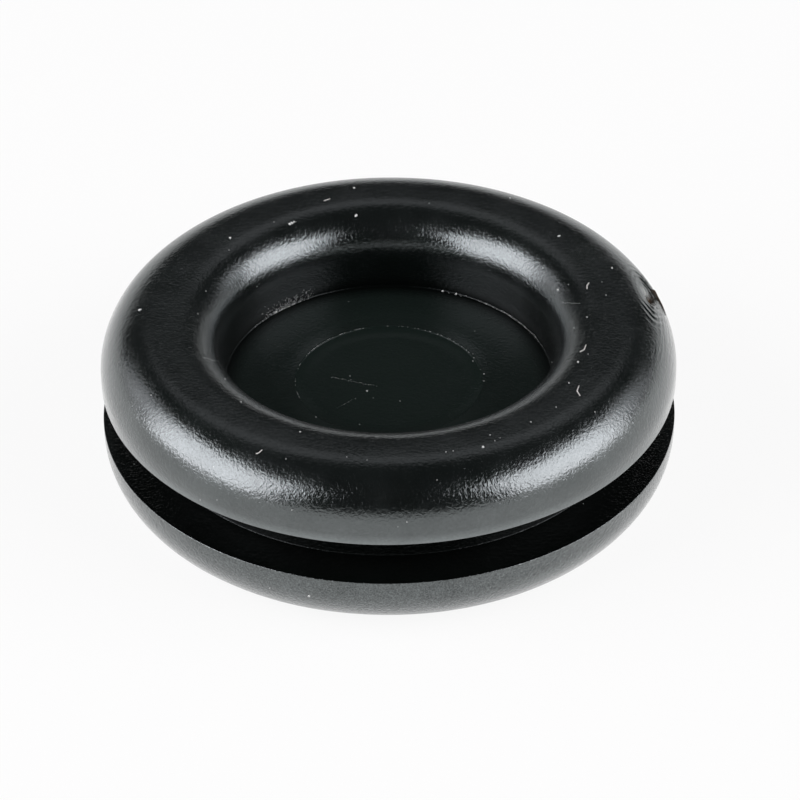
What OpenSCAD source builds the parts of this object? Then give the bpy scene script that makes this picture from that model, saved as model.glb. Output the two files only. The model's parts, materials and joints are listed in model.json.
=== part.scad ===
// Closed grommet: one soft rubber moulding that snaps into a round hole in a sheet panel.
// A square groove round the neck grips the panel's edge, a rounded rim stands on each side
// of it, and a thin web shuts the bore halfway along.
// The origin is on the axis in the middle of the groove, +Z runs along the axis, lengths in mm.

/* [Panel fit] */
// Diameter of the panel hole, which the neck fills
panel_hole_d = 20; // [14:0.5:40]
// Width of the groove that holds the panel's edge
groove_w = 1.9; // [0.8:0.1:5]
// Depth of the groove, from the edge of the rims down to the neck
groove_depth = 1.8; // [0.6:0.1:4]

/* [Rims] */
// Height of each rim above its side of the groove
rim_h = 2.75; // [1.5:0.05:5]
// Radius of the outer shoulder of each rim
shoulder_r = 2.6; // [0.3:0.1:4]
// Radius of the throat, where each rim rolls over into the bore
throat_r = 2.2; // [0.3:0.1:4]

/* [Bore and web] */
// Wall of the neck, between the bore and the groove
neck_wall = 3.2; // [1.2:0.1:4]
// Thickness of the web that shuts the bore
web_t = 0.8; // [0.3:0.1:1.8]
// Width of the border between the bore's wall and the round insert mark on the web
mark_border = 2.95; // [0.5:0.05:5]
// Depth of the insert mark, which is on the upper side only
mark_depth = 0.06; // [0.02:0.01:0.15]

/* [Gate mark] */
// Direction of the torn gate mark round the axis, counted from +X
gate_angle = 10; // [0:1:359]
// Slope of the upper shoulder at the gate mark, counted from level
gate_slope = 47; // [20:1:70]
// Width of the shallow dish round the gate
dish_d = 2.2; // [0.8:0.1:3]
// Depth of the dish
dish_depth = 0.12; // [0.04:0.01:0.3]
// Width of the pit torn out of the dish
pit_d = 0.7; // [0.3:0.05:1.2]
// Depth of the pit below the shoulder
pit_depth = 0.3; // [0.1:0.05:0.5]

/* [Hidden] */
$fn = 96;
rubber_black = [0.08, 0.09, 0.09];

// What the rounds leave straight: the flat that the part rests on and the land at the rim's edge
least_crown = 0.2;
least_land = 0.15;
// How far a cutting shape runs past the face that it cuts
spill = 1;

neck_r = panel_hole_d / 2;
rim_r = neck_r + groove_depth;
bore_r = neck_r - neck_wall;
half_h = groove_w / 2 + rim_h;
recess_h = half_h - web_t / 2;
mark_r = bore_r - mark_border;

// The two rounds share the width of the rim
rim_wall = rim_r - bore_r;
round_share = min(1, (rim_wall - least_crown) / (shoulder_r + throat_r));
shoulder = min(shoulder_r * round_share, rim_h - least_land);
throat = min(throat_r * round_share, recess_h - least_land);

// The gate mark sits on the upper shoulder
gate_at = [rim_r - shoulder + shoulder * cos(gate_slope), half_h - shoulder + shoulder * sin(gate_slope)];

// The corner outside a quarter circle of radius r about the origin
module corner_waste(r) {
    difference() {
        square(r + spill);
        circle(r);
    }
}

// Half of the section, cut from a plain blank as on a lathe; X is the radius and Y the height
module section() {
    difference() {
        translate([0, -half_h]) square([rim_r, 2 * half_h]);
        translate([neck_r, -groove_w / 2]) square([groove_depth + spill, groove_w]);
        for (side = [0, 1]) mirror([0, side]) {
            translate([0, web_t / 2]) square([bore_r, recess_h + spill]);
            translate([rim_r - shoulder, half_h - shoulder]) corner_waste(shoulder);
            translate([bore_r + throat, half_h - throat]) mirror([1, 0]) corner_waste(throat);
        }
        translate([0, web_t / 2 - mark_depth]) square([mark_r, mark_depth + spill]);
    }
}

// Ball that cuts a hollow of the given width and depth into a flat face at z = 0
module hollow(width, depth) {
    ball_r = (pow(width / 2, 2) + pow(depth, 2)) / (2 * depth);
    translate([0, 0, ball_r - depth]) sphere(ball_r);
}

// The dish and the torn pit that the mould's gate leaves, placed on the slope of the shoulder
module gate_mark() {
    rotate([0, 0, gate_angle])
        translate([gate_at[0], 0, gate_at[1]])
            rotate([0, 90 - gate_slope, 0]) {
                hollow(dish_d, dish_depth);
                hollow(pit_d, pit_depth);
            }
}

module grommet() {
    color(rubber_black)
        difference() {
            rotate_extrude() section();
            gate_mark();
        }
}

grommet();
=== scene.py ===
import json
import math

import bmesh
import bpy
import numpy as np
from mathutils import Matrix, Vector
from mathutils.bvhtree import BVHTree


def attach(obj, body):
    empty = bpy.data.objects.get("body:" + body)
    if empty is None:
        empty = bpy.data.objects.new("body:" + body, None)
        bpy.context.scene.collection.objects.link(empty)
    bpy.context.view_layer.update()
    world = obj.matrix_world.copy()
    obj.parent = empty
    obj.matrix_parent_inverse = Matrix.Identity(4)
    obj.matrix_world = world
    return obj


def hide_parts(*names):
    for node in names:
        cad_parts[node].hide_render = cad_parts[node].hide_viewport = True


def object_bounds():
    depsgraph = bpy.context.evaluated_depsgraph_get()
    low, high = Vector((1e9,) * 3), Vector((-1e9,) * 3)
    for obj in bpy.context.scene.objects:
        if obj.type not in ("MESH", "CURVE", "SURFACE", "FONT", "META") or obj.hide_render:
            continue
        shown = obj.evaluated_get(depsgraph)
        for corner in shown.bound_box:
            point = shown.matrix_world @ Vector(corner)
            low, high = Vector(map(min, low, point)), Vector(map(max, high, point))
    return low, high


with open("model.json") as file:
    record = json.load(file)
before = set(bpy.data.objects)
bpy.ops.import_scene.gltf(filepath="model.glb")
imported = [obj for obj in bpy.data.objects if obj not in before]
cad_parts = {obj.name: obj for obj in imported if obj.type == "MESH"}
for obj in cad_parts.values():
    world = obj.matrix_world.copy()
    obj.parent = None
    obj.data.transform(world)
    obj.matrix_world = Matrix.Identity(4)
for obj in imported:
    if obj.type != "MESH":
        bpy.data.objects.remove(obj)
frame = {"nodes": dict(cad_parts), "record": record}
cadBox = [list(corner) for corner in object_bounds()]
mm = 0.001
floorZ = cadBox[0][2]  # the part lies on its lower rim
print("frame loaded, box in mm", [[round(c / mm, 2) for c in corner] for corner in cadBox])


def linearColour(hexCode):
    channels = [int(hexCode[i:i + 2], 16) / 255 for i in (1, 3, 5)]
    linear = [c / 12.92 if c <= 0.04045 else ((c + 0.055) / 1.055) ** 2.4 for c in channels]
    return (*linear, 1)


def addNode(tree, kind, settings=None, values=None, links=None):
    node = tree.nodes.new(kind)
    for name, value in (settings or {}).items():
        setattr(node, name, value)
    for socket, value in (values or {}).items():
        node.inputs[socket].default_value = value
    for socket, source in (links or {}).items():
        tree.links.new(source, node.inputs[socket])
    return node


def newMaterial(name):
    material = bpy.data.materials.new(name)
    material.use_nodes = True
    material.node_tree.nodes.clear()
    return material, material.node_tree


def newPiece(name, mesh, material):
    mesh.materials.append(material)
    piece = bpy.data.objects.new(name, mesh)
    bpy.context.scene.collection.objects.link(piece)
    return piece


# Camera: the photograph's view, fitted to the rims, the groove and the web's corner
viewpoint = {
    "elevation": math.radians(36.09),
    "distance": 188.8 * mm,
    "target": Vector((0.454, 0, -0.625)) * mm,
    "roll": math.radians(-0.46),
    "lens": 205.7,  # on a 36 mm sensor
    "sensor": 36.0,
    "pixels": 800,
    "clipStart": 10 * mm,
}


def viewAxes():
    e = viewpoint["elevation"]
    forward = Vector((0, math.cos(e), -math.sin(e)))
    levelRight = Vector((1, 0, 0))
    levelUp = levelRight.cross(forward)
    c, s = math.cos(viewpoint["roll"]), math.sin(viewpoint["roll"])
    return levelRight * c + levelUp * s, levelUp * c - levelRight * s, forward


def makeCamera():
    right, up, forward = viewAxes()
    data = bpy.data.cameras.new("camera")
    data.sensor_width = viewpoint["sensor"]
    data.lens = viewpoint["lens"]
    data.clip_start = viewpoint["clipStart"]
    camera = bpy.data.objects.new("camera", data)
    turn = Matrix((right, up, -forward)).transposed().to_4x4()
    place = viewpoint["target"] - forward * viewpoint["distance"]
    camera.matrix_world = Matrix.Translation(place) @ turn
    bpy.context.scene.collection.objects.link(camera)
    bpy.context.scene.camera = camera
    return place


cameraPlace = makeCamera()
print("camera in place")


# The moulding's section, read off the frame's own solid
def readSection(node):
    points = np.array([v.co for v in node.data.vertices])
    r, z = np.hypot(points[:, 0], points[:, 1]), points[:, 2]
    mounts = {m["name"]: m for m in frame["record"]["mounts"]}
    boreR = mounts["upper_bore"]["dims"]["r_mm"] * mm
    rimR, halfH = r.max(), z.max()
    near = 0.02 * mm
    upper = z > 0
    onEdge = upper & (r > rimR - near)
    seat = z[onEdge].min()
    onWall = upper & (abs(r - boreR) < near)
    webTop = z[onWall].min()
    inMark = upper & (r < boreR - near) & (z < webTop - near)
    return {
        "rimR": rimR,
        "halfH": halfH,
        "seat": seat,  # flat side of the groove
        "landTop": z[onEdge].max(),
        "neckR": r[upper & (abs(z - seat) < near)].min(),
        "boreR": boreR,
        "wallTop": z[onWall].max(),
        "webTop": webTop,
        "markR": r[inMark].max(),
        "markFloor": z[inMark].min(),
    }


section = readSection(frame["nodes"]["grommet"])
section["shoulder"] = section["halfH"] - section["landTop"]
section["throat"] = section["halfH"] - section["wallTop"]
print("section in mm", {name: round(float(value) / mm, 3) for name, value in section.items()})

# What the mesh adds to the solid: worn mould edges, a slightly uneven skin and the torn gate
moulding = {
    "edgeRound": 0.07 * mm,  # outer edge of each groove side
    "lowerEdgeRound": 0.03 * mm,
    "neckRound": 0.06 * mm,
    "cornerRound": 0.10 * mm,  # where the web meets the bore's wall
    "markRound": 0.05 * mm,
    "markLip": 0.015 * mm,  # burr that the insert pushed up round its mark
    "lipPlace": 0.3,  # of markRound, outside the mark
    "neckRow": 0.4,  # of the groove's half width, where the neck gets a row of points
    "wobble": 0.02 * mm,
    "wobbleWaves": (2, 3, 5, 8, 13),  # round the part
    "wobbleLean": 2,  # radians from the middle to the crown
    "seed": 7,
    "webPolish": 0.1,  # blasted faces mirror less than the rims
    "groovePolish": 0.16,
    "cornerPolish": 0.12,  # the corner of web and wall is dull between its beads of flash
    "finishReach": 1.5,  # of a corner's round, how far its finish runs
    "dustRoom": 0.03 * mm,  # the upper rim is this much lower, so that dust on it keeps to the solid's box
    "filmZone": (10.9 * mm, 11.5 * mm),  # mould release stays on the outer slopes: radius of its fade
    "flashPolish": 1.7,  # a hair of flash along the upper rim's lower edge
    "coarseAngles": 280,
    "fineAngles": 190,  # round the gate
    "fineArc": (77, 17),  # degrees of the upper shoulder that are finely meshed for the gate
    "fineRows": 80,
    "hair": 0.0001 * mm,  # closer points count as one
}
gate = {
    "angle": math.radians(10),
    "slope": math.radians(47),
    "halfSpan": math.radians(14),  # of the finely meshed stretch
    "gridLow": 0.2 * mm,  # below the land's top, where the gate's grid ends
    "gridInner": math.radians(120),  # past the crown, where it ends on the inner side
    "farAway": 1000 * mm,  # place on the gate's grid of what isn't on the shoulder
    "rippleLong": 1.9 * mm,
    "rippleWide": 0.8 * mm,
    "rippleHeight": 0.026 * mm,
    "rippleCount": 4.4,
    "rippleFade": (0.25, 0.55, 1.35),  # shares of the reach where the rings start, are highest and end
    "rippleSides": (0.5, 0.6, 0.4),  # they are highest on two sides: mean, swing and turn
    "rippleLeast": 0.1,
    "rippleBends": ((2, 0.9, 1.0), (5, 0.8, 0.0)),  # waves in the rings: count, swing and turn
    "dishDepth": 0.11 * mm,
    "dishFall": 3,  # how fast the dish ends
    "pitDepth": 0.2 * mm,
    "pitLong": 0.34 * mm,
    "pitWide": 0.19 * mm,
    "pitLean": 0.3,  # slant across the rim
    "lensAt": (0.36 * mm, -0.3 * mm),  # along the rim, down the slope
    "flapFrom": (0.8 * mm, 0.36 * mm),
    "flapTo": (-0.5 * mm, 0.72 * mm),
    "flapHeight": 0.1 * mm,
    "flapWide": 0.11 * mm,
    "flapTaper": 1.1,  # of its width, at the root
    "flapDrop": 0.6,  # share of its height that is lost at the point
}


def arcPoints(centre, radius, start, end, steps):
    angles = np.radians(np.linspace(start, end, steps))
    return [(centre[0] + radius * math.cos(a), centre[1] + radius * math.sin(a)) for a in angles]


def linePoints(start, end, steps):
    return [tuple(p) for p in np.linspace(start, end, steps)]


# One side of the section, from the axis out over the rim and down to the middle of the neck
def halfSection(marked):
    s, m = section, moulding
    webCorner = (s["boreR"] - m["cornerRound"], s["webTop"])
    if marked:
        inner = (s["markR"] - m["markRound"], s["markFloor"])
        outer = (s["markR"] + m["markRound"], s["webTop"])
        lip = (s["markR"] + m["lipPlace"] * m["markRound"], s["webTop"] + m["markLip"])
        path = linePoints((0, s["markFloor"]), inner, 6)
        path += [((inner[0] + lip[0]) / 2, (inner[1] + lip[1]) / 2), lip, outer]
        path += linePoints(outer, webCorner, 5)[1:-1]
    else:
        path = linePoints((0, s["webTop"]), webCorner, 9)[:-1]
    cornerCentre = (webCorner[0], s["webTop"] + m["cornerRound"])
    path += arcPoints(cornerCentre, m["cornerRound"], -90, 0, 6)
    path += linePoints(path[-1], (s["boreR"], s["wallTop"]), 4)[1:-1]
    path += arcPoints((s["boreR"] + s["throat"], s["wallTop"]), s["throat"], 180, 90, 14)
    shoulderCentre = (s["rimR"] - s["shoulder"], s["landTop"])
    if marked:
        fineStart, fineEnd = m["fineArc"]
        path += arcPoints(shoulderCentre, s["shoulder"], 90, fineStart + 1, 4)
        path += arcPoints(shoulderCentre, s["shoulder"], fineStart, fineEnd, m["fineRows"])
        path += arcPoints(shoulderCentre, s["shoulder"], fineEnd - 4, 0, 4)
    else:
        path += arcPoints(shoulderCentre, s["shoulder"], 90, 0, 16)
    edge = m["edgeRound"] if marked else m["lowerEdgeRound"]
    path += arcPoints((s["rimR"] - edge, s["seat"] + edge), edge, 0, -90, 5)
    neckCentre = (s["neckR"] + m["neckRound"], s["seat"] - m["neckRound"])
    path += linePoints(path[-1], (neckCentre[0], s["seat"]), 5)[1:-1]
    path += arcPoints(neckCentre, m["neckRound"], 90, 180, 5)
    path.append((s["neckR"], s["seat"] * m["neckRow"]))
    return path


# How far the skin stands off the plain section round the gate, and how torn it is there;
# u runs along the rim, w down the slope
def gateRelief(u, w):
    g = gate
    lensU, lensW = g["lensAt"]
    # The rings lie round the point halfway between the pit and the lens
    reach = np.hypot((u - lensU / 2) / g["rippleLong"], (w - lensW / 2) / g["rippleWide"])
    around = np.arctan2(w / g["rippleWide"], u / g["rippleLong"])
    mean, swing, turn = g["rippleSides"]
    fade = np.interp(reach, g["rippleFade"], (0, 1, 0))
    fade = fade * np.clip(mean + swing * np.cos(2 * around - turn), g["rippleLeast"], 1)
    swirl = 2 * math.pi * g["rippleCount"] * reach
    for count, swing, turn in g["rippleBends"]:
        swirl = swirl + swing * np.sin(count * around + turn)
    relief = g["rippleHeight"] * np.cos(swirl) * fade
    relief -= g["dishDepth"] * np.exp(-reach ** 2 * g["dishFall"])
    pit = np.exp(-(u / g["pitLong"]) ** 2 - ((w - g["pitLean"] * u) / g["pitWide"]) ** 2)
    relief -= g["pitDepth"] * pit

    # The torn flap narrows from its root beside the pit to a point
    start, run = np.array(g["flapFrom"]), np.array(g["flapTo"]) - np.array(g["flapFrom"])
    along = np.clip(((u - start[0]) * run[0] + (w - start[1]) * run[1]) / (run @ run), 0, 1)
    away = np.hypot(u - start[0] - along * run[0], w - start[1] - along * run[1])
    flap = np.exp(-(away / (g["flapWide"] * (g["flapTaper"] - along))) ** 2)
    relief += g["flapHeight"] * (1 - g["flapDrop"] * along) * flap
    return relief, np.maximum(pit, flap)


def grommetMesh():
    top = halfSection(True)
    bottom = [(r, -z) for r, z in reversed(halfSection(False))]
    path = np.array(top + bottom)
    keep = np.concatenate([[True], np.hypot(*np.diff(path, axis=0).T) > moulding["hair"]])
    path = path[keep]
    ring = path[1:-1]
    span = gate["halfSpan"]
    fine = np.linspace(-span, span, moulding["fineAngles"], endpoint=False)
    coarse = np.linspace(span, 2 * math.pi - span, moulding["coarseAngles"], endpoint=False)
    turn = np.concatenate([fine, coarse]) + gate["angle"]

    # The outward normal of the section at each ring
    ahead = np.gradient(path, axis=0)[1:-1]
    normal = np.stack([-ahead[:, 1], ahead[:, 0]], 1)
    normal /= np.linalg.norm(normal, axis=1)[:, None]

    # A soft moulding is never quite true: a few slow waves round the rims
    draw = np.random.default_rng(moulding["seed"])
    wave = np.zeros((len(ring), len(turn)))
    for count in moulding["wobbleWaves"]:
        phase = draw.uniform(0, 2 * math.pi, 2)
        lean = np.cos(ring[:, 1] / section["halfH"] * moulding["wobbleLean"] + phase[0])
        wave += np.outer(lean, np.cos(count * turn + phase[1])) / count
    relief = moulding["wobble"] * wave * np.clip(ring[:, 0] / section["boreR"], 0, 1)[:, None] ** 2

    u = ((turn - gate["angle"] + math.pi) % (2 * math.pi) - math.pi)[None] * ring[:, :1]
    outR = ring[:, 0] - (section["rimR"] - section["shoulder"])
    outZ = ring[:, 1] - section["landTop"]
    slope = np.arctan2(outZ, outR)
    onShoulder = (outZ > -gate["gridLow"]) & (slope < gate["gridInner"]) & (ring[:, 1] > section["seat"])
    w = np.where(onShoulder, (gate["slope"] - slope) * section["shoulder"], gate["farAway"])[:, None]
    gateHeight, torn = gateRelief(u, w)
    relief = relief + np.where(onShoulder[:, None], gateHeight, 0)

    # Nothing may stand past the solid's own box: the rest face and the rim's edge stay where they are
    r = np.minimum(ring[:, :1] + relief * normal[:, :1], section["rimR"])
    z = np.clip(ring[:, 1:] + relief * normal[:, 1:], -section["halfH"], section["halfH"])
    z = np.where(z > section["seat"], z * (1 - moulding["dustRoom"] / section["halfH"]), z)
    points = np.stack([r * np.cos(turn), r * np.sin(turn), z], 2).reshape(-1, 3)
    poles = np.array([[0, 0, path[0, 1]], [0, 0, path[-1, 1]]])

    rings, steps = len(ring), len(turn)
    j, i = np.meshgrid(np.arange(rings - 1), np.arange(steps), indexing="ij")
    nextI = (i + 1) % steps
    here, below = j * steps, (j + 1) * steps
    quads = np.stack([here + i, below + i, below + nextI, here + nextI], 2)
    around = np.arange(steps)
    after = (around + 1) % steps
    topPole, bottomPole = rings * steps, rings * steps + 1
    last = (rings - 1) * steps
    faces = quads.reshape(-1, 4).tolist()
    faces += [[topPole, a, b] for a, b in zip(around.tolist(), after.tolist())]
    faces += [[bottomPole, last + b, last + a] for a, b in zip(around.tolist(), after.tolist())]

    mesh = bpy.data.meshes.new("grommet_moulding")
    mesh.from_pydata(np.concatenate([points, poles]).tolist(), [], faces)
    # Place on the gate's own grid, in mm, and how torn the skin is
    spots = np.stack([u / mm + 0 * w, w / mm + 0 * u, torn * onShoulder[:, None]], 2)
    poleSpot = [gate["farAway"] / mm, gate["farAway"] / mm, 0]
    spots = np.concatenate([spots.reshape(-1, 3), [poleSpot, poleSpot]])
    attribute = mesh.attributes.new("gatePlace", "FLOAT_VECTOR", "POINT")
    attribute.data.foreach_set("vector", spots.astype(np.float32).ravel())
    # Where the mould's finish changes: how much the skin mirrors, the lower half, and the web
    onWeb = ring[:, 0] < section["boreR"] - moulding["cornerRound"]
    beyondBore = ring[:, 0] > section["boreR"]
    inGroove = (abs(ring[:, 1]) <= section["seat"] + moulding["hair"]) & beyondBore
    polish = np.where(onWeb, moulding["webPolish"], np.where(inGroove, moulding["groovePolish"], 1.0))
    cornerTop = section["webTop"] + moulding["finishReach"] * moulding["cornerRound"]
    inBore = ring[:, 0] < section["boreR"] + moulding["hair"]
    polish[(abs(ring[:, 1]) < cornerTop) & ~onWeb & inBore] = moulding["cornerPolish"]
    flashTop = section["seat"] + moulding["finishReach"] * moulding["edgeRound"]
    onFlash = (ring[:, 1] > 0) & (ring[:, 1] < flashTop) & ~inGroove
    polish[onFlash & (ring[:, 0] > section["neckR"])] = moulding["flashPolish"]
    zones = np.zeros((len(points) + 2, 3), np.float32)
    zones[:-2, 0] = np.repeat(polish, steps)
    zones[-2:, 0] = moulding["webPolish"]
    zones[:-2, 1] = np.repeat(ring[:, 1] < 0, steps)
    zones[:-2, 2] = np.repeat(onWeb, steps)
    zones[-2:, 2] = 1
    attribute = mesh.attributes.new("finish", "FLOAT_VECTOR", "POINT")
    attribute.data.foreach_set("vector", zones.ravel())
    filmStart, filmEnd = moulding["filmZone"]
    film = np.clip((ring[:, 0] - filmStart) / (filmEnd - filmStart), 0, 1) * ~inGroove
    film = np.concatenate([np.repeat(film, steps), [0, 0]])
    attribute = mesh.attributes.new("film", "FLOAT", "POINT")
    attribute.data.foreach_set("value", film.astype(np.float32))
    mesh.shade_smooth()
    mesh.update()
    return mesh


# Moulded rubber: carbon black swallows nearly all light, so what the eye gets is mirrored by the skin;
# the etched mould leaves a fine wormy grain that breaks up the edges of the highlights, and a trace of
# bloom and dust lightens every face that is seen at a grazing angle
rubberLook = {
    "dark": "#040605",
    "grey": "#070a09",
    "webColour": "#171f1c",  # a film of dust greys the hollow
    "ior": 1.6,
    "mirror": 1.1,  # about twice what plain rubber mirrors, from the film of wax that blooms to its skin
    "roughness": (0.17, 0.24),
    "mottleRange": (0.3, 0.7),  # of the mottle, over which the roughness runs
    "bloom": 0.03,
    "bloomRoughness": 0.35,
    "grainWidth": 0.13 * mm,
    "grainHeight": 0.016 * mm,
    "grainRoughness": 0.6,
    "grainDistortion": 0.6,  # bends the grain into worms
    "sandWidth": 0.055 * mm,  # finer than the grain; it shows most on the blasted lower mould half
    "sandShade": (0.2, 1.6),  # how far it swings what the skin mirrors, upper and lower half
    "grainShade": 0.45,  # the grain's pits mirror less
    "smearShade": 0.4,
    "tint": "#f4feff",
    "filmIor": 1.3,  # a trace of mould release lightens the outer slopes where they are seen edge on
    "filmRoughness": 0.12,
    "lowerGrainHeight": 0.031 * mm,  # on the lower mould half
    "mottleWidth": 1.6 * mm,
    "dustCell": 1.1 * mm,
    "dustRadius": 0.03 * mm,
    "dustCore": 0.6,  # of the radius, where a speck is at its full colour
    "dustColour": "#8d9390",
    "tornColour": "#423120",
    "tornMirror": 0.2,  # share of the mirroring that the tear keeps
    "paintedLensColour": "#8f928e",  # painted reflection: a pale lens beside the pit stands in for the bright backdrop that a facet there mirrors
    "paintedLensLong": 0.5,  # mm
    "paintedLensWide": 0.24,
    "paintedLensFade": (1.0, 0.4),  # edge of the pale lens, and where it is full
    "paintedLensStreaks": (0.3, 0.65),  # of the flow marks, from dark to pale
    "flowLong": 1.6,  # mm, length and width of the flow marks that run from the gate along the rim
    "flowWide": 0.13,
    "flowHeight": 0.03 * mm,
    "flowShade": 2.8,
    "flowReach": 5.5,
    "flowFull": 0.35,  # of the reach, within which the marks are strongest
    "flowSlope": (-0.5, 0.1),  # mm down the slope, where they begin
}


def mouldedRubber():
    look = rubberLook
    material, tree = newMaterial("moulded_black_rubber")
    place = addNode(tree, "ShaderNodeTexCoord").outputs["Object"]
    finish = addNode(tree, "ShaderNodeAttribute", {"attribute_name": "finish"}).outputs["Vector"]
    polish, lower, web = addNode(tree, "ShaderNodeSeparateXYZ", links={"Vector": finish}).outputs
    gateSpot = addNode(tree, "ShaderNodeAttribute", {"attribute_name": "gatePlace"}).outputs["Vector"]
    _, gateDown, torn = addNode(tree, "ShaderNodeSeparateXYZ", links={"Vector": gateSpot}).outputs

    mottle = addNode(tree, "ShaderNodeTexNoise", values={"Scale": 1 / look["mottleWidth"]},
                     links={"Vector": place}).outputs["Fac"]
    grain = addNode(tree, "ShaderNodeTexNoise",
                    values={"Scale": 1 / look["grainWidth"], "Roughness": look["grainRoughness"],
                            "Distortion": look["grainDistortion"]},
                    links={"Vector": place}).outputs["Fac"]
    sand = addNode(tree, "ShaderNodeTexNoise", values={"Scale": 1 / look["sandWidth"], "Detail": 0},
                   links={"Vector": place}).outputs["Fac"]
    cells = addNode(tree, "ShaderNodeTexVoronoi", values={"Scale": 1 / look["dustCell"]},
                    links={"Vector": place}).outputs["Distance"]
    speckEdge = look["dustRadius"] / look["dustCell"]
    dusty = addNode(tree, "ShaderNodeMapRange",
                    values={"From Min": speckEdge, "From Max": look["dustCore"] * speckEdge},
                    links={"Value": cells}).outputs["Result"]

    # Flow marks run along the rim's outer slope and fade away from the gate
    stretch = (1 / look["flowLong"], 1 / look["flowWide"], 0)
    flowPlace = addNode(tree, "ShaderNodeVectorMath", {"operation": "MULTIPLY"}, {1: stretch},
                        {0: gateSpot}).outputs["Vector"]
    streaks = addNode(tree, "ShaderNodeTexNoise", values={"Scale": 1, "Detail": 1},
                      links={"Vector": flowPlace}).outputs["Fac"]
    away = addNode(tree, "ShaderNodeVectorMath", {"operation": "LENGTH"},
                   links={0: gateSpot}).outputs["Value"]
    nearGate = addNode(tree, "ShaderNodeMapRange",
                       values={"From Min": look["flowReach"],
                               "From Max": look["flowFull"] * look["flowReach"]},
                       links={"Value": away}).outputs["Result"]
    onSlope = addNode(tree, "ShaderNodeMapRange",
                      values={"From Min": look["flowSlope"][0], "From Max": look["flowSlope"][1]},
                      links={"Value": gateDown}).outputs["Result"]
    flowShare = addNode(tree, "ShaderNodeMath", {"operation": "MULTIPLY"},
                        links={0: nearGate, 1: onSlope}).outputs["Value"]
    flowSwing = addNode(tree, "ShaderNodeMapRange", values={"To Min": -0.5, "To Max": 0.5},
                        links={"Value": streaks}).outputs["Result"]
    flow = addNode(tree, "ShaderNodeMath", {"operation": "MULTIPLY"},
                   links={0: flowSwing, 1: flowShare}).outputs["Value"]

    # A pale lens beside the pit, streaked by the flow marks: a painted reflection of the bright backdrop
    # on a facet there
    lensAt = (gate["lensAt"][0] / mm, gate["lensAt"][1] / mm, 0)
    lensShape = (1 / look["paintedLensLong"], 1 / look["paintedLensWide"], 0)
    lens = addNode(tree, "ShaderNodeVectorMath", {"operation": "SUBTRACT"}, {1: lensAt},
                   {0: gateSpot}).outputs["Vector"]
    lens = addNode(tree, "ShaderNodeVectorMath", {"operation": "MULTIPLY"}, {1: lensShape},
                   {0: lens}).outputs["Vector"]
    lens = addNode(tree, "ShaderNodeVectorMath", {"operation": "LENGTH"}, links={0: lens}).outputs["Value"]
    inLens = addNode(tree, "ShaderNodeMapRange",
                     values={"From Min": look["paintedLensFade"][0], "From Max": look["paintedLensFade"][1]},
                     links={"Value": lens}).outputs["Result"]
    paintedLensStreakShare = addNode(tree, "ShaderNodeMapRange",
                          values={"From Min": look["paintedLensStreaks"][0],
                                  "From Max": look["paintedLensStreaks"][1]},
                          links={"Value": streaks}).outputs["Result"]
    paintedLensShare = addNode(tree, "ShaderNodeMath", {"operation": "MULTIPLY"},
                       links={0: inLens, 1: paintedLensStreakShare}).outputs["Value"]

    # Colour, from the plain skin up
    skin = addNode(tree, "ShaderNodeMix", {"data_type": "RGBA"},
                   {"A": linearColour(look["dark"]), "B": linearColour(look["grey"])},
                   {"Factor": mottle}).outputs["Result"]
    # the lens's pale layer is a painted reflection; the web, dust and tear layers are the skin's own
    # colour
    layers = [(web, "webColour"), (dusty, "dustColour"), (paintedLensShare, "paintedLensColour"), (torn, "tornColour")]
    for share, colour in layers:
        skin = addNode(tree, "ShaderNodeMix", {"data_type": "RGBA"}, {"B": linearColour(look[colour])},
                       {"Factor": share, "A": skin}).outputs["Result"]

    # How much the skin mirrors: sand, grain, smears and flow marks swing it, dull faces and tears lower it
    sandSwing = addNode(tree, "ShaderNodeMapRange", values={"To Min": -0.5, "To Max": 0.5},
                        links={"Value": sand}).outputs["Result"]
    sandShade = addNode(tree, "ShaderNodeMapRange",
                        values={"To Min": look["sandShade"][0], "To Max": look["sandShade"][1]},
                        links={"Value": lower}).outputs["Result"]
    swing = addNode(tree, "ShaderNodeMath", {"operation": "MULTIPLY"},
                    links={0: sandSwing, 1: sandShade}).outputs["Value"]
    for source, shade in ((grain, look["grainShade"]), (mottle, look["smearShade"])):
        step = addNode(tree, "ShaderNodeMapRange", values={"To Min": -shade / 2, "To Max": shade / 2},
                       links={"Value": source}).outputs["Result"]
        swing = addNode(tree, "ShaderNodeMath", {"operation": "ADD"},
                        links={0: swing, 1: step}).outputs["Value"]
    swing = addNode(tree, "ShaderNodeMath", {"operation": "MULTIPLY_ADD"}, {1: look["flowShade"]},
                    {0: flow, 2: swing}).outputs["Value"]
    whole = addNode(tree, "ShaderNodeMapRange",
                    values={"To Min": look["mirror"], "To Max": look["tornMirror"] * look["mirror"]},
                    links={"Value": torn}).outputs["Result"]
    level = addNode(tree, "ShaderNodeMath", {"operation": "MULTIPLY"},
                    links={0: polish, 1: whole}).outputs["Value"]
    mirror = addNode(tree, "ShaderNodeMath", {"operation": "MULTIPLY_ADD"},
                     links={0: swing, 1: level, 2: level}).outputs["Value"]
    film = addNode(tree, "ShaderNodeAttribute", {"attribute_name": "film"}).outputs["Fac"]
    rough = addNode(tree, "ShaderNodeMapRange",
                    values={"From Min": look["mottleRange"][0], "From Max": look["mottleRange"][1],
                            "To Min": look["roughness"][0], "To Max": look["roughness"][1]},
                    links={"Value": mottle}).outputs["Result"]

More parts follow.
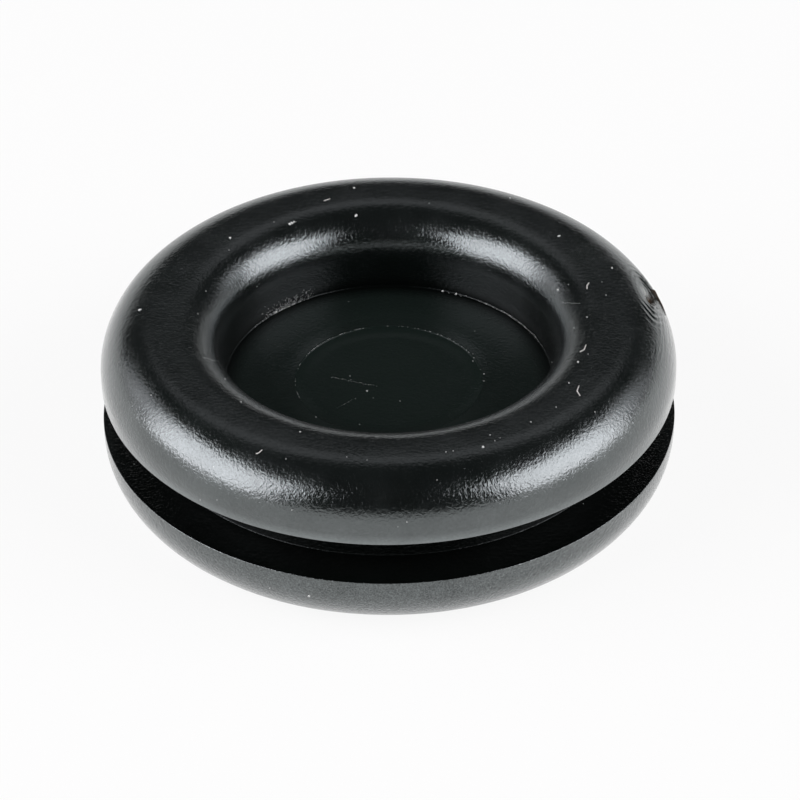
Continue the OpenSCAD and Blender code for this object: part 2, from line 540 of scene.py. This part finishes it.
    # The grain is deeper on the lower mould half
    grainDepth = addNode(tree, "ShaderNodeMapRange",
                         values={"To Min": look["grainHeight"], "To Max": look["lowerGrainHeight"]},
                         links={"Value": lower}).outputs["Result"]
    flowBump = addNode(tree, "ShaderNodeBump", values={"Distance": look["flowHeight"]},
                       links={"Height": flow}).outputs["Normal"]
    bump = addNode(tree, "ShaderNodeBump",
                   links={"Height": grain, "Distance": grainDepth, "Normal": flowBump}).outputs["Normal"]
    shader = addNode(tree, "ShaderNodeBsdfPrincipled",
                     values={"IOR": look["ior"], "Specular Tint": linearColour(look["tint"]),
                             "Sheen Weight": look["bloom"], "Sheen Roughness": look["bloomRoughness"],
                             "Coat IOR": look["filmIor"], "Coat Roughness": look["filmRoughness"]},
                     links={"Base Color": skin, "Roughness": rough, "Specular IOR Level": mirror,
                            "Normal": bump, "Coat Weight": film, "Coat Normal": bump}).outputs["BSDF"]
    addNode(tree, "ShaderNodeOutputMaterial", links={"Surface": shader})
    return material


grommet = newPiece("grommet_moulding", grommetMesh(), mouldedRubber())
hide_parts("grommet")
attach(grommet, "root")
print("grommet meshed,", len(grommet.data.polygons), "faces")

# Dust and lint that lie on the part, and pale flakes that paint the glints of scratches and of a small
# bump, each at the pixel of the photograph's view where it shows
litter = {
    # (290, 224) to (294, 222): three flakes in a row paint a pale crescent glint on a small bump of the
    # skin
    "flakes": [
        (559, 236), (612, 268), (558, 290), (578, 362), (140, 310), (290, 224), (292, 223), (294, 222),
        (230, 238), (354, 188), (356, 216), (483, 447), (309, 596), (300, 432), (443, 291), (456, 294),
        (276, 312), (367, 391)],
    "specks": [
        (229, 250), (198, 314), (606, 295), (587, 317), (574, 328), (588, 354), (543, 268), (510, 198),
        (151, 395), (225, 379), (286, 459), (347, 457), (367, 460), (292, 510), (407, 522), (437, 480),
        (595, 412), (200, 500), (217, 500), (270, 588), (490, 435), (495, 441), (500, 438), (446, 452),
        (453, 451), (350, 376), (316, 417), (400, 401), (473, 354), (473, 361), (484, 374), (484, 381),
        (282, 308), (290, 304), (297, 297), (306, 293), (449, 293), (461, 296), (531, 422), (241, 402),
        (206, 291), (552, 362), (556, 407), (569, 383), (296, 222), (274, 222)],
    # rows of pale flakes along scuff lines; the two on the web paint the glint of a scratch's raised burrs
    "scuffGlints": [((332, 377), (376, 386)), ((337, 408), (356, 398)),
               ((563, 303), (579, 303)), ((203, 358), (218, 361))],
    # Caught where the web meets the wall: from and to in degrees, grains, how far up the wall
    "cornerDust": [(118, 148, 70, 0.02 * mm), (116, 142, 260, 0.2 * mm), (16, 64, 130, 0.02 * mm)],
    "cornerFoot": 0.2,  # of the corner's round, where that dust begins
    "markDust": [(106, 168, 60), (168, 205, 16), (10, 92, 34)],  # caught round the insert's mark
    "fibres": [[(256, 454), (259, 453), (262, 450)], [(587, 289), (587, 286), (589, 283)],
               [(580, 352), (584, 350), (586, 345)], [(579, 386), (577, 391), (580, 396)],
               [(324, 201), (330, 199)]],
    "flakeWidth": (0.09 * mm, 0.16 * mm),
    "speckWidth": (0.04 * mm, 0.06 * mm),
    "scuffWidth": (0.014 * mm, 0.036 * mm),
    "scuffStep": 1.3,  # pixels
    "scuffStray": 0.4,  # pixels
    "caughtWidth": (0.014 * mm, 0.036 * mm),
    "flakeTurn": 6.3,  # radians
    "flakeSlim": 0.5,  # least width across, as a share of the width along
    "flakeThick": 0.3,  # of the width
    "flakeRough": 0.08,
    "fibreWidth": 0.034 * mm,
    "fibreSides": 5,
    "fibreLift": 0.4,  # of its width, so that a fibre lies on the skin
    "dustColour": "#dcdedc",
    "lintColour": "#ece8e4",
    "roughness": 0.9,
    "ior": 1.45,
    "seed": 21,
}


def onSkin(tree, pixel):
    right, up, forward = viewAxes()
    step = viewpoint["sensor"] / viewpoint["lens"] / viewpoint["pixels"]
    across, down = (p - viewpoint["pixels"] / 2 for p in pixel)
    ray = forward + (right * across - up * down) * step
    spot, normal, _, _ = tree.ray_cast(cameraPlace, ray.normalized())
    return spot, normal


def addFlake(build, spot, normal, width, draw):
    seat = Matrix.Translation(spot) @ normal.to_track_quat("Z", "Y").to_matrix().to_4x4()
    turn = Matrix.Rotation(draw.uniform(0, litter["flakeTurn"]), 4, "Z")
    across = width / 2 * draw.uniform(litter["flakeSlim"], 1)
    shape = Matrix.Diagonal((width / 2, across, width * litter["flakeThick"], 1))
    made = bmesh.ops.create_icosphere(build, subdivisions=1, radius=1, matrix=seat @ turn @ shape)
    for vert in made["verts"]:
        vert.co += Vector(draw.normal(0, width * litter["flakeRough"], 3))


def addFibre(build, spots, width):
    rings = []
    sides = litter["fibreSides"]
    angles = [2 * math.pi * i / sides for i in range(sides)]
    for k, (spot, normal) in enumerate(spots):
        ahead = spots[min(k + 1, len(spots) - 1)][0] - spots[max(k - 1, 0)][0]
        side = ahead.cross(normal).normalized()
        middle = spot + normal * width * litter["fibreLift"]
        rings.append([build.verts.new(middle + (side * math.cos(a) + normal * math.sin(a)) * width / 2)
                      for a in angles])
    for near, far in zip(rings, rings[1:]):
        for i in range(sides):
            build.faces.new((near[i], near[i - 1], far[i - 1], far[i]))
    build.faces.new(rings[0])
    build.faces.new(rings[-1][::-1])


def litterPiece(name, build, material):
    for vert in build.verts:
        out = math.hypot(vert.co.x, vert.co.y)
        if out > section["rimR"]:
            vert.co.xy *= section["rimR"] / out
        vert.co.z = min(max(vert.co.z, -section["halfH"]), section["halfH"])
    mesh = bpy.data.meshes.new(name)
    bmesh.ops.recalc_face_normals(build, faces=build.faces)
    build.to_mesh(mesh)
    build.free()
    mesh.shade_smooth()
    piece = newPiece(name, mesh, material)
    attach(piece, "root")
    print(name, "laid,", len(mesh.polygons), "faces")


# House dust and lint, and the pale flakes that paint glints of scratches and of a small bump: dull, pale
# and opaque, so they show as light points on the black skin
def plainMatter(name, colour):
    material, tree = newMaterial(name)
    shader = addNode(tree, "ShaderNodeBsdfPrincipled",
                     values={"Base Color": linearColour(colour), "Roughness": litter["roughness"],
                             "IOR": litter["ior"]})
    addNode(tree, "ShaderNodeOutputMaterial", links={"Surface": shader.outputs["BSDF"]})
    return material


def makeLitter():
    draw = np.random.default_rng(litter["seed"])
    mesh = grommet.data
    skin = BVHTree.FromPolygons([v.co for v in mesh.vertices], [p.vertices for p in mesh.polygons])
    flakes = bmesh.new()
    for kind in ("flake", "speck"):
        for pixel in litter[kind + "s"]:
            addFlake(flakes, *onSkin(skin, pixel), draw.uniform(*litter[kind + "Width"]), draw)
    for start, end in litter["scuffGlints"]:
        count = int(math.dist(start, end) / litter["scuffStep"])
        for pixel in np.linspace(start, end, count) + draw.normal(0, litter["scuffStray"], (count, 2)):
            addFlake(flakes, *onSkin(skin, pixel), draw.uniform(*litter["scuffWidth"]), draw)
    cornerFoot = section["webTop"] + litter["cornerFoot"] * moulding["cornerRound"]
    for start, end, count, reach in litter["cornerDust"]:
        for angle in np.radians(draw.triangular(start, (start + end) / 2, end, count)):
            height = cornerFoot + abs(draw.normal(0, reach))
            out = Vector((math.cos(angle), math.sin(angle), 0))
            spot, normal, _, _ = skin.ray_cast(Vector((0, 0, height)), out)
            addFlake(flakes, spot, normal, draw.uniform(*litter["caughtWidth"]), draw)
    for start, end, count in litter["markDust"]:
        for angle in np.radians(draw.uniform(start, end, count)):
            above = Vector((math.cos(angle), math.sin(angle), 0)) * section["markR"]
            above.z = section["halfH"]
            spot, normal, _, _ = skin.ray_cast(above, Vector((0, 0, -1)))
            addFlake(flakes, spot, normal, draw.uniform(*litter["caughtWidth"]), draw)
    litterPiece("dust_and_painted_glints", flakes, plainMatter("house_dust_and_painted_glints", litter["dustColour"]))
    fibres = bmesh.new()
    for route in litter["fibres"]:
        addFibre(fibres, [onSkin(skin, pixel) for pixel in route], litter["fibreWidth"])
    litterPiece("lint_fibres", fibres, plainMatter("cotton_lint", litter["lintColour"]))


makeLitter()

# A white sweep all round: floor, then a low curved wall, so that every view ends in white
sweep = {
    "nearR": 60 * mm,  # inner ring of the flat
    "flatR": 850 * mm,
    "bendR": 190 * mm,
    "bendFrom": -80,  # degrees
    "bendRows": 9,
    "steps": 96,
    "colour": "#f4f4f2",
    "shown": 0.9,  # share of plain white that the eye and mirrors get; the rest keeps the shadow
}


def makeSweep():
    bendCentre = (sweep["flatR"], sweep["bendR"])
    outline = [(0, 0), (sweep["nearR"], 0), (sweep["flatR"], 0)]
    outline += arcPoints(bendCentre, sweep["bendR"], sweep["bendFrom"], 0, sweep["bendRows"])
    mesh = bpy.data.meshes.new("sweep")
    build = bmesh.new()
    profile = [build.verts.new((r, 0, z + floorZ)) for r, z in outline]
    edges = [build.edges.new(pair) for pair in zip(profile, profile[1:])]
    bmesh.ops.spin(build, geom=profile + edges, cent=(0, 0, 0), axis=(0, 0, 1), angle=2 * math.pi,
                   steps=sweep["steps"], use_merge=True)
    bmesh.ops.remove_doubles(build, verts=build.verts, dist=moulding["hair"])
    bmesh.ops.recalc_face_normals(build, faces=build.faces)
    build.to_mesh(mesh)
    build.free()
    mesh.shade_smooth()
    material, tree = newMaterial("white_paper_sweep")
    path = addNode(tree, "ShaderNodeLightPath")
    seen = addNode(tree, "ShaderNodeMath", {"operation": "MAXIMUM"},
                   links={0: path.outputs["Is Camera Ray"], 1: path.outputs["Is Glossy Ray"]})
    seen = addNode(tree, "ShaderNodeMath", {"operation": "MAXIMUM"},
                   links={0: seen.outputs["Value"], 1: path.outputs["Is Transmission Ray"]})
    share = addNode(tree, "ShaderNodeMath", {"operation": "MULTIPLY"}, {1: sweep["shown"]},
                    {0: seen.outputs["Value"]})
    paper = addNode(tree, "ShaderNodeBsdfDiffuse", values={"Color": linearColour(sweep["colour"])})
    white = addNode(tree, "ShaderNodeEmission", values={"Strength": 1.0})
    both = addNode(tree, "ShaderNodeMixShader",
                   links={0: share.outputs["Value"], 1: paper.outputs["BSDF"],
                          2: white.outputs["Emission"]})
    addNode(tree, "ShaderNodeOutputMaterial", links={"Surface": both.outputs["Shader"]})
    return newPiece("sweep", mesh, material)


makeSweep()

# Plain soft studio light: a box on each side with a dim one next to it, a weak one behind and a dim room
studio = {
    "boxes": {
        "leftBox": {"azimuth": -106, "elevation": 29, "distance": 330 * mm,
                    "size": (340 * mm, 225 * mm), "watts": 1.2},
        "rightBox": {"azimuth": 107, "elevation": 29, "distance": 330 * mm,
                     "size": (310 * mm, 212 * mm), "watts": 1.03},
        "leftFill": {"azimuth": -62, "elevation": 25, "distance": 330 * mm,
                     "size": (120 * mm, 140 * mm), "watts": 0.065},
        "rightFill": {"azimuth": 67, "elevation": 29, "distance": 330 * mm,
                      "size": (110 * mm, 150 * mm), "watts": 0.05},
        "backBox": {"azimuth": 0, "elevation": 52, "distance": 420 * mm,
                    "size": (300 * mm, 150 * mm), "watts": 0.045},
    },
    "lampColour": "#fdfafe",
    "room": "#373a3a",
    "roomFront": "#2d2f2f",  # behind the camera
    "roomFade": (-0.6, 0.1),  # from front to back
}


def makeStudio():
    for name, box in studio["boxes"].items():
        lamp = bpy.data.lights.new(name, "AREA")
        lamp.shape = "RECTANGLE"
        lamp.size, lamp.size_y = box["size"]
        lamp.energy = box["watts"]
        lamp.color = linearColour(studio["lampColour"])[:3]
        holder = bpy.data.objects.new(name, lamp)
        a, e = math.radians(box["azimuth"]), math.radians(box["elevation"])
        towards = Vector((math.sin(a) * math.cos(e), math.cos(a) * math.cos(e), math.sin(e)))
        holder.location = towards * box["distance"]
        holder.rotation_euler = towards.to_track_quat("Z", "Y").to_euler()
        holder.visible_camera = False
        bpy.context.scene.collection.objects.link(holder)
    world = bpy.data.worlds.new("room")
    world.use_nodes = True
    tree = world.node_tree
    towards = addNode(tree, "ShaderNodeTexCoord").outputs["Generated"]
    back = addNode(tree, "ShaderNodeSeparateXYZ", links={"Vector": towards}).outputs["Y"]
    fadeStart, fadeEnd = studio["roomFade"]
    share = addNode(tree, "ShaderNodeMapRange", values={"From Min": fadeStart, "From Max": fadeEnd},
                    links={"Value": back})
    tone = addNode(tree, "ShaderNodeMix", {"data_type": "RGBA"},
                   {"A": linearColour(studio["roomFront"]), "B": linearColour(studio["room"])},
                   {"Factor": share.outputs["Result"]})
    tree.links.new(tone.outputs["Result"], tree.nodes["Background"].inputs["Color"])
    bpy.context.scene.world = world
    bpy.context.scene.view_settings.view_transform = "Standard"


makeStudio()
print("studio lit")
